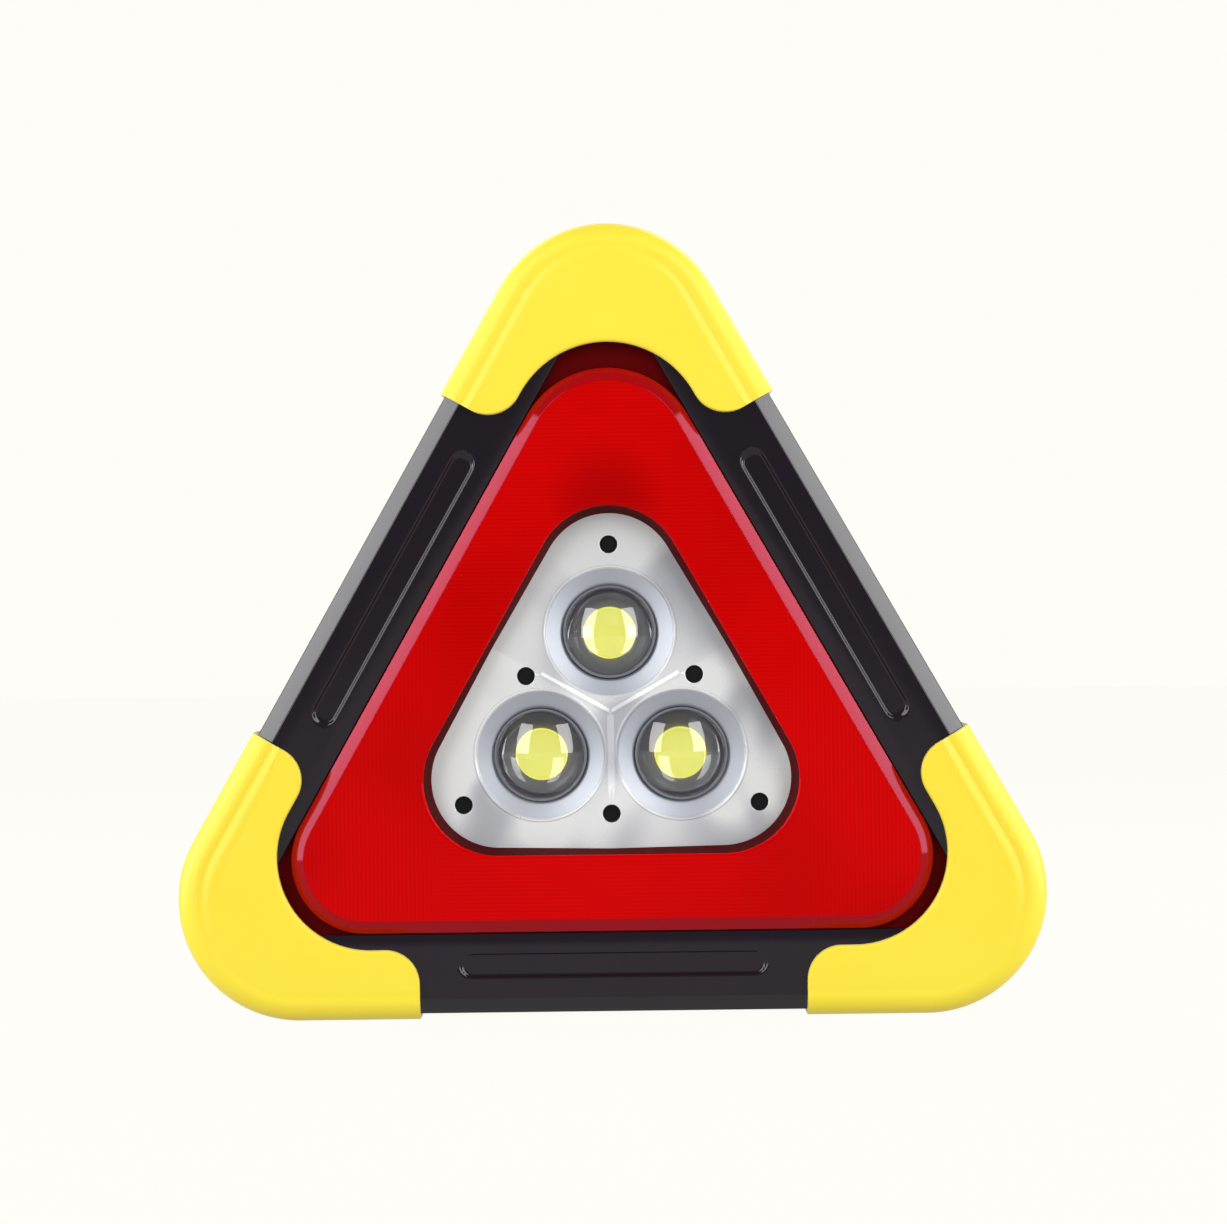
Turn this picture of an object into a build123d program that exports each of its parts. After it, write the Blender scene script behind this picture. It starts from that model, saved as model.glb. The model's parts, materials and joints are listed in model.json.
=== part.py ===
from build123d import *

import os
from math import atan2, cos, degrees, hypot, radians, sin, tan

# A battery warning triangle and work light: a black triangular casing with a yellow guard on each
# corner, a red warning lens round a silver reflector plate, and three lamps behind round lenses.
# It stands upright. All sizes are millimetres: +X is to the right, +Z is up, the front faces -Y, and
# the origin is on the surface it stands on, under the middle of the lamp.
# "inset" is always the distance inwards from the outer edge of the guards, and "depth" the distance
# in front of the middle plane, so a negative depth is towards the back.

# Outer shape
width, height, thickness = 267.0, 244.0, 46.0
corner_radius = 37.2
front_depth = thickness / 2

# Casing: front frame and rear housing
casing_inset = 1.5
face_depth, joint_depth, back_depth = 19.6, 2.0, -17.0
front_chamfer, rear_chamfer = 5.0, 3.0
wall = 2.4
window_inset, window_radius = 26.3, 13.0
pocket_length, pocket_width, pocket_sink, pocket_inset = 94.0, 7.3, 0.8, 16.4

# Corner guards
bar_between_guards = 119.0
guard_width, guard_base_hollow, guard_top_hollow, guard_toe_radius = 21.5, 28.5, 30.5, 10.5
guard_back_depth = -18.2
guard_front_round, guard_back_round = 6.0, 1.0

# Warning lens
lens_inset, lens_base_radius, lens_top_radius = 26.5, 22.5, 28.3
bevel_width, lens_depth, lens_wall = 3.8, 22.4, 2.0
flange_inset, flange_radius, flange_thickness = 23.8, 15.5, 2.0
well_inset, well_radius, well_slope, well_end_depth = 50.0, 23.0, 14.0, 9.0

# Reflector plate with three facets, and what is under it
apex_depth, facet_tilt = 17.0, 4.0
plate_inset, plate_radius, plate_thickness = 50.2, 22.8, 1.8
dish_radius, dish_sink, dish_back_radius, dish_back = 19.8, 1.6, 21.2, 3.4
lamp_orbit, lamp_hole_radius, spreader_drop = 25.2, 14.5, 7.0
spreader_inset, spreader_radius, spreader_back_depth = 56.0, 17.0, 4.0
top_plate_screw, middle_plate_screw = (0, 145.3), (0, 62.4)
low_plate_screw, side_plate_screw = (45.6, 65.4), (25.9, 105.0)
plate_screw_head_radius, plate_screw_radius, plate_screw_length = 2.5, 1.3, 5.6
plate_screw_sink, plate_screw_head = 3.4, 1.8
plate_boss_radius, plate_recess_radius = 4.0, 2.8

# Warning light board
board_thickness, warning_board_depth = 1.6, 6.0
board_outer_inset, board_outer_radius, board_inner_inset, board_inner_radius = 24.0, 22.0, 52.0, 20.0
warning_led_size, warning_led_height, warning_led_inset = 5.0, 1.6, 38.0
warning_leds_a_side, warning_led_pitch = 6, 20.0

# Lamps: (radius, height) of the holder and the emitter, and the sizes of the domed lens
holder_profile = [
    (14.3, -7.0), (14.3, -0.2), (13.7, -0.2), (13.4, -0.5), (13.4, -1.8), (13.0, -1.8),
    (6.6, -5.2), (11.7, -5.2), (11.7, -7.0),
]
emitter_profile = [(0, -7.0), (11.6, -7.0), (11.6, -5.8), (6.2, -5.8), (6.2, -4.6), (0, -4.6)]
lens_rim_radius, lens_dome_radius, lens_seat, lens_rim_top, lens_top = 13.3, 13.0, -1.8, -0.6, 3.6

# Posts that carry the plate, the warning light board and the driver board
post_radius, spreader_post_orbit, board_post_orbit = 3.0, 50.0, 88.0
driver_post_radius, driver_post_spread, driver_post_drop = 2.5, 20.0, 6.0

# Housing screws
screw_inset, screw_spread = 13.0, 38.0
front_boss_radius, rear_boss_radius = 4.0, 4.8
screw_radius, screw_head_radius, screw_head, screw_length, screw_tip_wall = 1.3, 3.0, 2.0, 20.0, 2.0
screw_seat_depth, counterbore_radius, screw_clearance_radius = -8.0, 3.4, 1.6

# Battery bay with four AA cells, and its door
cell_radius, cell_body, cell_nub_radius, cell_nub, cell_pitch = 7.1, 49.5, 2.7, 1.0, 15.0
cell_depth, bay_floor_depth = -7.2, 0.2
bay_middle, bay_length, bay_width, bay_side_wall, bay_end_wall = 72.0, 56.0, 60.6, 2.0, 2.4
contact_thickness, contact_width, contact_depth_size, contact_back_depth = 0.5, 12.0, 7.6, -10.8
cell_edge_round, spring_wide_radius, spring_narrow_radius = 0.5, 4.6, 2.6
door_middle, door_length, door_width, door_thickness, door_gap = 72.5, 68.0, 66.0, 2.2, 0.3
tab_spacing, tab_width, tab_tip_depth, tab_toe_depth = 30.0, 8.0, -12.3, -14.3
tab_root_rise, tab_root_length, tab_toe_drop, tab_toe_length = 2.8, 4.6, 0.5, 2.2
tab_slot_middle, tab_slot_length, tab_slot_depth, tab_slot_play = 40.1, 7.8, -11.0, 1.0
finger_groove_height, finger_groove_width, finger_groove_size, finger_groove_sink = 100.0, 20.0, 6.0, 1.0

# Switch and driver board
button_height, button_radius, button_hole_radius = 126.0, 6.0, 6.3
button_flange_radius, plunger_radius, plunger_hole_radius = 7.5, 1.7, 1.8
button_depth, button_shoulder_depth, button_flange_depth, button_edge = -18.0, -14.3, -13.1, 0.5
plunger_tip_depth, switch_size, switch_back_depth, switch_bore_end = -10.0, 7.0, -11.6, -8.8
driver_board_size, driver_board_depth = (50.0, 26.0), -6.8
driver_coil, driver_chip = (-14, 4, 8.0, 8.0, 4.0), (4, 0, 6.0, 5.0, 1.2)
capacitor_x, capacitor_drop, capacitor_radius, capacitor_height = 16, 3, 3.2, 7.0

# Stand, which also swings up over the back as a handle
pivot_height, pivot_depth = 150.0, -20.5
stand_width, leg_width, stand_thickness, stand_foot_height, foot_bar = 84.0, 6.0, 4.0, 10.0, 8.0
stand_corner_radius, stand_inner_radius = 10.0, 5.0
eye_radius, pin_radius, pin_bore_radius, pin_inner_cover, pin_outer_cover = 2.5, 1.2, 1.25, 0.6, 0.4
lug_gap, lug_width, lug_base, lug_root = 0.4, 5.4, 9.0, 0.6

# Worked out: the three corner arcs' centres, and the centre that every triangle shares
half_base = width / 2 - corner_radius
rise = height - 2 * corner_radius
inradius = half_base * rise / (half_base + hypot(half_base, rise))
centre = Vector(0, corner_radius + inradius)
corners = {
    "top": Vector(0, height - corner_radius),
    "left": Vector(-half_base, corner_radius),
    "right": Vector(half_base, corner_radius),
}
sides = {"left": ("left", "top"), "right": ("top", "right"), "bottom": ("right", "left")}


def front_plane(depth):
    """The upright plane at a depth, facing the front, with the lamp's X and Z as its X and Y."""
    return Plane.XZ.offset(depth)


def outward(name):
    """The unit vector from the centre towards a corner."""
    return (corners[name] - centre).normalized()


def side_point(name, along, inset):
    """A point beside one side: along it from its middle, and inset from the outer edge."""
    start, end = (corners[corner] for corner in sides[name])
    run = (end - start).normalized()
    normal = Vector(-run.Y, run.X)
    return (start + end) / 2 + run * along + normal * (corner_radius - inset)


def side_angle(name):
    """The angle of one side, in degrees from X."""
    start, end = (corners[corner] for corner in sides[name])
    return degrees(atan2(end.Y - start.Y, end.X - start.X))


def triangle(inset, base_radius, top_radius=None):
    """The lamp's triangle drawn inset from the outer edge, with its own corner radii."""
    reach = (inradius + corner_radius - inset) / inradius
    points = [centre + (corner - centre) * reach for corner in corners.values()]
    with BuildSketch(Plane.XY, mode=Mode.PRIVATE) as outline:
        with BuildLine():
            Polyline(*points, close=True)
        make_face()
        fillet(outline.vertices().sort_by(Axis.Y)[-1], top_radius or base_radius)
        base_corners = [outline.vertices().sort_by_distance(point)[0] for point in points[1:]]
        fillet(base_corners, base_radius)
    return outline.sketch


outer_edge = triangle(0, corner_radius).wire()


def on_outer_edge(edge):
    """Whether an edge lies on the lamp's outer edge, seen from the front."""
    middle = edge.position_at(0.5)
    return outer_edge.distance_to(Vertex(middle.X, middle.Z, 0)) < 0.01


def guard_face(name):
    """A guard seen from the front: the corner of the triangle, cut square across both sides."""
    corner = corners[name]
    toes, cut = [], []
    for side, ends in sides.items():
        if name not in ends:
            continue
        other = corners[ends[0] if ends[1] == name else ends[1]]
        run = (other - corner).normalized()
        normal = side_point(side, 0, 0) - side_point(side, 0, 1)
        stop = corner + run * ((other - corner).length - bar_between_guards) / 2
        toes.append(stop + normal * (corner_radius - guard_width))
        cut.append((stop + normal * (corner_radius + 10), stop + normal * 8))
    beyond = corner + outward(name) * 3 * corner_radius
    with BuildSketch(Plane.XY, mode=Mode.PRIVATE) as face:
        add(triangle(0, corner_radius))
        add(triangle(guard_width, guard_base_hollow, guard_top_hollow), mode=Mode.SUBTRACT)
        with BuildSketch(Plane.XY, mode=Mode.INTERSECT):
            with BuildLine():
                Polyline(cut[0][0], cut[0][1], cut[1][1], cut[1][0], beyond, close=True)
            make_face()
        fillet([face.vertices().sort_by_distance(toe)[0] for toe in toes], guard_toe_radius)
    return face.sketch


def facet_plane(name, drop=0.0, orbit=0.0):
    """The plane of the plate's facet towards one corner, moved back by drop along its normal.

    The facets meet in a shallow point in front of the centre, and each falls away towards its
    corner. Its origin is on the line from the centre to the corner, orbit away from the centre.
    """
    tilt = radians(facet_tilt)
    way = outward(name)
    normal = Vector(way.X * sin(tilt), -cos(tilt), way.Y * sin(tilt))
    slope = Vector(way.X * cos(tilt), sin(tilt), way.Y * cos(tilt))
    apex = Vector(centre.X, -apex_depth, centre.Y)
    return Plane(apex + slope * orbit - normal * drop, x_dir=slope, z_dir=normal)


def facet_depth(point):
    """How far in front of the middle plane the plate's surface is at a point."""
    along = max((Vector(*point) - centre).dot(outward(name)) for name in corners)
    return apex_depth - along * tan(radians(facet_tilt))


def faceted_block(inset, radius, depth, drop):
    """A block with the three facets as its front, from a depth forwards."""
    with BuildPart(mode=Mode.PRIVATE) as block:
        with BuildSketch(front_plane(depth)):
            add(triangle(inset, radius))
        extrude(amount=apex_depth - depth)
        for name in corners:
            split(bisect_by=facet_plane(name, drop), keep=Keep.BOTTOM)
    return block.part


def cylinder_on(plane, radius, start, end, mode=Mode.ADD):
    """A cylinder square to a plane, between two distances in front of it."""
    with BuildSketch(plane.offset(start)) as disc:
        Circle(radius)
    extrude(disc.sketch, amount=end - start, mode=mode)


def cylinders_at(points, radius, start, end, mode=Mode.ADD):
    """A cylinder from back to front at each point, between two depths."""
    with BuildSketch(front_plane(start)) as discs:
        with Locations(*points):
            Circle(radius)
    extrude(discs.sketch, amount=end - start, mode=mode)


def box_at(middle_x, middle_z, size_x, size_z, start, end, mode=Mode.ADD):
    """A box from back to front, between two depths."""
    with BuildSketch(front_plane(start)) as panel:
        with Locations((middle_x, middle_z)):
            Rectangle(size_x, size_z)
    extrude(panel.sketch, amount=end - start, mode=mode)


def prism(inset, base_radius, start, end, top_radius=None, taper=0.0, mode=Mode.ADD):
    """The lamp's triangle carried from one depth to another, closing in by taper degrees."""
    with BuildSketch(front_plane(start)) as outline:
        add(triangle(inset, base_radius, top_radius))
    if end > start:
        extrude(outline.sketch, amount=end - start, taper=taper, mode=mode)
    else:
        back = outline.sketch.faces()[0]
        extrude(back, amount=start - end, dir=(0, 1, 0), taper=taper, mode=mode)


def turned(plane, profile):
    """The solid that a profile of (radius, height) points makes, turned round a plane's normal."""
    section = Plane(plane.origin, x_dir=plane.x_dir, z_dir=plane.x_dir.cross(plane.z_dir))
    with BuildSketch(section) as half:
        with BuildLine():
            Polyline(*profile, close=True)
        make_face()
    revolve(half.sketch, axis=Axis(plane.origin, plane.z_dir))


os.makedirs("parts", exist_ok=True)


def save(builder, label):
    """Labels a finished piece and writes it."""
    builder.part.label = label
    export_step(builder.part, f"parts/{label}.step")


screw_points = []
for name in sides:
    for along in (-screw_spread, screw_spread):
        screw_points.append(side_point(name, along, screw_inset))

# Casing: one outer shape, shared out between the front frame and the rear housing
casing_radius = corner_radius - casing_inset
hollow_inset, hollow_radius = casing_inset + wall, corner_radius - casing_inset - wall
front_hollow_slope, rear_hollow_slope = 3.6, 2.0
face_back_depth = face_depth - wall
back_wall_depth = back_depth + wall

with BuildPart() as casing:
    prism(casing_inset, casing_radius, back_depth, face_depth)
    chamfer(casing.faces().sort_by(Axis.Y)[0].edges(), front_chamfer)
    chamfer(casing.faces().sort_by(Axis.Y)[-1].edges(), rear_chamfer)

with BuildPart() as front_frame:
    add(casing)
    split(bisect_by=front_plane(joint_depth), keep=Keep.TOP)
    slope_start = face_back_depth - front_hollow_slope
    prism(hollow_inset, hollow_radius, joint_depth, slope_start, mode=Mode.SUBTRACT)
    prism(hollow_inset, hollow_radius, slope_start, face_back_depth, taper=45, mode=Mode.SUBTRACT)
    prism(window_inset, window_radius, joint_depth, front_depth, mode=Mode.SUBTRACT)
    for name in sides:
        with BuildSketch(front_plane(face_depth - pocket_sink)):
            with Locations(side_point(name, 0, pocket_inset)):
                SlotOverall(pocket_length, pocket_width, rotation=side_angle(name))
        extrude(amount=pocket_sink, mode=Mode.SUBTRACT)
    cylinders_at(screw_points, front_boss_radius, joint_depth, face_back_depth)
    screw_hole_end = face_back_depth - screw_tip_wall
    cylinders_at(screw_points, screw_radius, joint_depth, screw_hole_end, mode=Mode.SUBTRACT)
save(front_frame, "front_frame")

# Rear housing
spreader_posts = [outward(name) * spreader_post_orbit + centre for name in corners]
board_posts = [outward(name) * board_post_orbit + centre for name in corners]
driver_post_height = button_height - driver_post_drop
driver_posts = [(-driver_post_spread, driver_post_height), (driver_post_spread, driver_post_height)]
driver_board_back = driver_board_depth - board_thickness
posts = [
    (spreader_posts, post_radius, spreader_back_depth),
    (board_posts, post_radius, warning_board_depth),
    (driver_posts, driver_post_radius, driver_board_back),
]
bay_outer_width = door_width + 2 * (door_gap + bay_side_wall)
bay_outer_length = door_length + 2 * (door_gap + bay_end_wall)
lug_inner = stand_width / 2 + lug_gap

with BuildPart() as rear_housing:
    add(casing)
    split(bisect_by=front_plane(joint_depth), keep=Keep.BOTTOM)
    slope_start = back_wall_depth + rear_hollow_slope
    prism(hollow_inset, hollow_radius, slope_start, joint_depth, mode=Mode.SUBTRACT)
    prism(hollow_inset, hollow_radius, slope_start, back_wall_depth, taper=45, mode=Mode.SUBTRACT)
    for points, radius, depth in posts:
        cylinders_at(points, radius, back_wall_depth, depth)
    cylinders_at(screw_points, rear_boss_radius, back_wall_depth, joint_depth)
    cylinders_at(screw_points, counterbore_radius, back_depth, screw_seat_depth, mode=Mode.SUBTRACT)
    cylinders_at(screw_points, screw_clearance_radius, screw_seat_depth, joint_depth, mode=Mode.SUBTRACT)
    box_at(0, door_middle, bay_outer_width, bay_outer_length, back_wall_depth, joint_depth)
    box_at(0, bay_middle, bay_width, bay_length, back_depth, bay_floor_depth, mode=Mode.SUBTRACT)
    door_hole = (door_width + 2 * door_gap, door_length + 2 * door_gap)
    box_at(0, door_middle, *door_hole, back_depth, back_wall_depth, mode=Mode.SUBTRACT)
    for tab in (-tab_spacing / 2, tab_spacing / 2):
        slot = (tab_width + tab_slot_play, tab_slot_length)
        box_at(tab, tab_slot_middle, *slot, back_wall_depth, tab_slot_depth, mode=Mode.SUBTRACT)
    cylinders_at([(0, button_height)], button_hole_radius, back_depth, back_wall_depth, mode=Mode.SUBTRACT)
    for way in (-1, 1):
        near = lug_inner if way > 0 else -lug_inner - lug_width
        with BuildSketch(Plane.YZ.offset(near)):
            with Locations((-pivot_depth, pivot_height)):
                Circle(eye_radius)
            with Locations((-back_depth - lug_root / 2, pivot_height)):
                Rectangle(lug_root, lug_base)
            make_hull()
        extrude(amount=lug_width)
        with BuildSketch(Plane.YZ.offset(near)):
            with Locations((-pivot_depth, pivot_height)):
                Circle(pin_radius)
        extrude(amount=lug_width, mode=Mode.SUBTRACT)
save(rear_housing, "rear_housing")

# Corner guards
for name in corners:
    with BuildPart() as guard:
        with BuildSketch(front_plane(guard_back_depth)):
            add(guard_face(name))
        extrude(amount=front_depth - guard_back_depth)
        fillet(guard.faces().sort_by(Axis.Y)[0].edges().filter_by(on_outer_edge), guard_front_round)
        fillet(guard.faces().sort_by(Axis.Y)[-1].edges().filter_by(on_outer_edge), guard_back_round)
        add(casing, mode=Mode.SUBTRACT)
    save(guard, f"corner_guard_{name}")

# Red lens over the warning light, open in the middle round the plate
lens_slope = degrees(atan2(bevel_width, lens_depth - face_depth))
beyond_inset = plate_inset - 8
cavity_inset = lens_inset + lens_wall + 0.4
skirt_inset = well_inset - lens_wall
skirt_start, skirt_end = lens_depth - lens_wall / 4, well_end_depth + 1

with BuildPart() as warning_lens:
    prism(flange_inset, flange_radius, face_back_depth - flange_thickness, face_back_depth)
    prism(lens_inset, lens_base_radius, face_back_depth, face_depth, lens_top_radius)
    prism(lens_inset, lens_base_radius, face_depth, lens_depth, lens_top_radius, taper=lens_slope)
    prism(
        cavity_inset,
        lens_base_radius - lens_wall,
        face_back_depth - flange_thickness,
        lens_depth - lens_wall,
        lens_top_radius - lens_wall,
        mode=Mode.SUBTRACT,
    )
    prism(skirt_inset, well_radius + lens_wall, skirt_start, skirt_end, taper=well_slope)
    prism(well_inset, well_radius, lens_depth, well_end_depth, taper=well_slope, mode=Mode.SUBTRACT)
    add(faceted_block(beyond_inset, plate_radius, spreader_back_depth, 0), mode=Mode.SUBTRACT)
save(warning_lens, "warning_lens")

# Reflector plate: three facets, a shallow dish round each lamp, and six recessed screw holes
plate_screw_points = [top_plate_screw, middle_plate_screw]
for across, height in (low_plate_screw, side_plate_screw):
    plate_screw_points += [(-across, height), (across, height)]
plate_screw_places = [(point, facet_depth(point)) for point in plate_screw_points]
lamp_planes = {name: facet_plane(name, 0, lamp_orbit) for name in corners}

with BuildPart() as under_plate:
    add(faceted_block(beyond_inset, plate_radius, spreader_back_depth - 1, plate_thickness))
    for point, surface in plate_screw_places:
        cylinders_at([point], plate_boss_radius, spreader_back_depth - 1, surface, mode=Mode.SUBTRACT)
    for plane in lamp_planes.values():
        cylinder_on(plane, dish_back_radius, -dish_back, 1, mode=Mode.SUBTRACT)

with BuildPart() as reflector_plate:
    add(faceted_block(plate_inset, plate_radius, spreader_back_depth - 0.5, 0))
    add(under_plate, mode=Mode.SUBTRACT)
    add(
        faceted_block(beyond_inset, plate_radius, spreader_back_depth - 1, spreader_drop),
        mode=Mode.SUBTRACT,
    )
    for plane in lamp_planes.values():
        cylinder_on(plane, lamp_hole_radius, -2 * spreader_drop, 2, mode=Mode.SUBTRACT)
        cylinder_on(plane, dish_radius, -dish_sink, 2, mode=Mode.SUBTRACT)
    for point, surface in plate_screw_places:
        seat = surface - plate_screw_sink
        cylinders_at([point], plate_recess_radius, seat, apex_depth, mode=Mode.SUBTRACT)
        cylinders_at([point], screw_clearance_radius, 0, seat, mode=Mode.SUBTRACT)
save(reflector_plate, "reflector_plate")

with BuildPart() as heat_spreader:
    add(faceted_block(spreader_inset, spreader_radius, spreader_back_depth, spreader_drop))
    for point, surface in plate_screw_places:
        tip = surface - plate_screw_sink - plate_screw_length
        cylinders_at([point], plate_screw_radius, tip, apex_depth, mode=Mode.SUBTRACT)
save(heat_spreader, "heat_spreader")

with BuildPart() as plate_screws:
    for point, surface in plate_screw_places:
        seat = surface - plate_screw_sink
        cylinders_at([point], plate_screw_radius, seat - plate_screw_length, seat)
        cylinders_at([point], plate_screw_head_radius, seat, seat + plate_screw_head)
save(plate_screws, "plate_screws")

# Three lamps: a holder with a dark cone, the lamp board under it, and a domed lens over it
bulge = (lens_dome_radius**2 + (lens_top - lens_rim_top) ** 2) / (2 * (lens_top - lens_rim_top))
halfway = lens_dome_radius / 2
halfway_height = lens_top - bulge + (bulge**2 - halfway**2) ** 0.5

for name, plane in lamp_planes.items():
    with BuildPart() as lamp_holder:
        turned(plane, holder_profile)
    save(lamp_holder, f"lamp_holder_{name}")

    with BuildPart() as lamp_emitter:
        turned(plane, emitter_profile)
    save(lamp_emitter, f"lamp_emitter_{name}")

    section = Plane(plane.origin, x_dir=plane.x_dir, z_dir=plane.x_dir.cross(plane.z_dir))
    with BuildPart() as lamp_lens:
        with BuildSketch(section):
            with BuildLine():
                Polyline(
                    (0, lens_top),
                    (0, lens_seat),
                    (lens_rim_radius, lens_seat),
                    (lens_rim_radius, lens_rim_top),
                    (lens_dome_radius, lens_rim_top),
                )
                ThreePointArc((lens_dome_radius, lens_rim_top), (halfway, halfway_height), (0, lens_top))
            make_face()
        revolve(axis=Axis(plane.origin, plane.z_dir))
    save(lamp_lens, f"lamp_lens_{name}")

# Red warning light: a ring-shaped board under the lens, with a row of LEDs along each side
with BuildPart() as warning_board:
    board_front = warning_board_depth + board_thickness
    prism(board_outer_inset, board_outer_radius, warning_board_depth, board_front)
    prism(board_inner_inset, board_inner_radius, 0, 2 * board_front, mode=Mode.SUBTRACT)
save(warning_board, "warning_board")

with BuildPart() as warning_leds:
    for name in sides:
        for place in range(warning_leds_a_side):
            along = (place - (warning_leds_a_side - 1) / 2) * warning_led_pitch
            with BuildSketch(front_plane(board_front)):
                with Locations(side_point(name, along, warning_led_inset)):
                    Rectangle(warning_led_size, warning_led_size, rotation=side_angle(name))
            extrude(amount=warning_led_height)
save(warning_leds, "warning_leds")

# Housing screws, put in from the back
with BuildPart() as housing_screws:
    cylinders_at(screw_points, screw_head_radius, screw_seat_depth - screw_head, screw_seat_depth)
    cylinders_at(screw_points, screw_radius, screw_seat_depth, screw_seat_depth + screw_length)
save(housing_screws, "housing_screws")

# Four AA cells side by side, every second one upside down, and their contacts
cell_length = cell_body + cell_nub
bay_bottom, bay_top = bay_middle - bay_length / 2, bay_middle + bay_length / 2
cell_xs = [(place - 1.5) * cell_pitch for place in range(4)]
contact_inner_bottom, contact_inner_top = bay_bottom + contact_thickness, bay_top - contact_thickness


def upright_cylinder(x, radius, low, high, top_radius=None):
    """A round piece standing along Z in the battery bay, or a cone if top_radius is given."""
    with BuildSketch(Plane.XY.offset(low)) as foot:
        with Locations((x, -cell_depth)):
            Circle(radius)
    if top_radius is None:
        extrude(foot.sketch, amount=high - low)
        return
    with BuildSketch(Plane.XY.offset(high)) as head:
        with Locations((x, -cell_depth)):
            Circle(top_radius)
    loft([foot.sketch.face(), head.sketch.face()])


for place, x in enumerate(cell_xs):
    nub_up = place % 2 == 0
    start = contact_inner_top - cell_length if nub_up else contact_inner_bottom + cell_nub
    with BuildPart() as cell:
        upright_cylinder(x, cell_radius, start, start + cell_body)
        fillet(cell.edges().filter_by(GeomType.CIRCLE), cell_edge_round)
        if nub_up:
            upright_cylinder(x, cell_nub_radius, start + cell_body, contact_inner_top)
        else:
            upright_cylinder(x, cell_nub_radius, contact_inner_bottom, start)
    save(cell, f"battery_cell_{place + 1}")

spring_length = bay_length - 2 * contact_thickness - cell_length
with BuildPart() as battery_springs:
    for place, x in enumerate(cell_xs):
        nub_up = place % 2 == 0
        low = contact_inner_bottom if nub_up else contact_inner_top - spring_length
        ends = [spring_wide_radius, spring_narrow_radius]
        if not nub_up:
            ends.reverse()
        upright_cylinder(x, ends[0], low, low + spring_length, ends[1])
save(battery_springs, "battery_springs")

with BuildPart() as battery_contacts:
    joined = cell_pitch + contact_width
    contact_front_depth = contact_back_depth + contact_depth_size
    plates = [(x, contact_width, bay_top) for x in (cell_xs[0], cell_xs[3])] + [(0, joined, bay_top)]
    plates += [(x, joined, contact_inner_bottom) for x in (-cell_pitch, cell_pitch)]
    for x, size_x, top in plates:
        middle = top - contact_thickness / 2
        box_at(x, middle, size_x, contact_thickness, contact_back_depth, contact_front_depth)
save(battery_contacts, "battery_contacts")

# Battery door: hooks in at its bottom edge and swings out round it
door_bottom = door_middle - door_length / 2
with BuildPart() as battery_door:
    box_at(0, door_middle, door_width, door_length, back_depth, back_depth + door_thickness)
    for tab in (-tab_spacing / 2, tab_spacing / 2):
        root_depth = back_depth + door_thickness
        box_at(tab, door_bottom + tab_root_rise, tab_width, tab_root_length, root_depth, tab_tip_depth)
        box_at(tab, door_bottom - tab_toe_drop, tab_width, tab_toe_length, tab_toe_depth, tab_tip_depth)
    groove = (finger_groove_width, finger_groove_size, back_depth, back_depth + finger_groove_sink)
    box_at(0, finger_groove_height, *groove, mode=Mode.SUBTRACT)
save(battery_door, "battery_door")

# Switch: the button with its plunger, the switch under it, and the board that carries it
button_place = [(0, button_height)]
with BuildPart() as switch_button:
    cylinders_at(button_place, button_radius, button_depth, button_shoulder_depth)
    chamfer(switch_button.faces().sort_by(Axis.Y)[-1].edges(), button_edge)
    cylinders_at(button_place, button_flange_radius, button_shoulder_depth, button_flange_depth)
save(switch_button, "switch_button")

with BuildPart() as switch_plunger:
    cylinders_at(button_place, plunger_radius, button_flange_depth, plunger_tip_depth)
save(switch_plunger, "switch_plunger")

with BuildPart() as switch_body:
    box_at(0, button_height, switch_size, switch_size, switch_back_depth, driver_board_back)
    bore_start = switch_back_depth - 0.1
    cylinders_at(button_place, plunger_hole_radius, bore_start, switch_bore_end, mode=Mode.SUBTRACT)
save(switch_body, "switch_body")

with BuildPart() as driver_board:
    box_at(0, button_height, *driver_board_size, driver_board_back, driver_board_depth)
    for x, up, size_x, size_z, tall in (driver_coil, driver_chip):
        box_at(x, button_height + up, size_x, size_z, driver_board_depth, driver_board_depth + tall)
    capacitor = [(capacitor_x, button_height - capacitor_drop)]
    cylinders_at(capacitor, capacitor_radius, driver_board_depth, driver_board_depth + capacitor_height)
save(driver_board, "driver_board")

# Stand: a flat U on two pins, folded down against the back
stand_half = stand_width / 2
stand_back = pivot_depth - stand_thickness / 2
stand_front = stand_back + stand_thickness
stand_length, bar_top = pivot_height - stand_foot_height, stand_foot_height + foot_bar
inner_width, inner_length = stand_width - 2 * leg_width, pivot_height - bar_top
with BuildPart() as stand:
    box_at(0, stand_foot_height + stand_length / 2, stand_width, stand_length, stand_back, stand_front)
    inner = (0, bar_top + inner_length / 2, inner_width, inner_length, stand_back, stand_front)
    box_at(*inner, mode=Mode.SUBTRACT)
    upright_edges = stand.edges().filter_by(Axis.Y)
    foot_edges = upright_edges.filter_by(lambda edge: edge.center().Z < bar_top - 1)
    fillet(foot_edges, stand_corner_radius)
    upright_edges = stand.edges().filter_by(Axis.Y)
    inner_edges = upright_edges.filter_by(lambda edge: abs(edge.center().Z - bar_top) < 0.1)
    fillet(inner_edges, stand_inner_radius)
    for near in (-stand_half, stand_half - leg_width):
        with BuildSketch(Plane.YZ.offset(near)):
            with Locations((-pivot_depth, pivot_height)):
                Circle(eye_radius)
        extrude(amount=leg_width)
        with BuildSketch(Plane.YZ.offset(near)):
            with Locations((-pivot_depth, pivot_height)):
                Circle(pin_bore_radius)
        extrude(amount=leg_width, mode=Mode.SUBTRACT)
save(stand, "stand")

with BuildPart() as stand_pins:
    pin_start = stand_half - leg_width + pin_inner_cover
    pin_end = lug_inner + lug_width - pin_outer_cover
    for near in (-pin_end, pin_start):
        with BuildSketch(Plane.YZ.offset(near)):
            with Locations((-pivot_depth, pivot_height)):
                Circle(pin_radius)
        extrude(amount=pin_end - pin_start)
save(stand_pins, "stand_pins")
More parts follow.
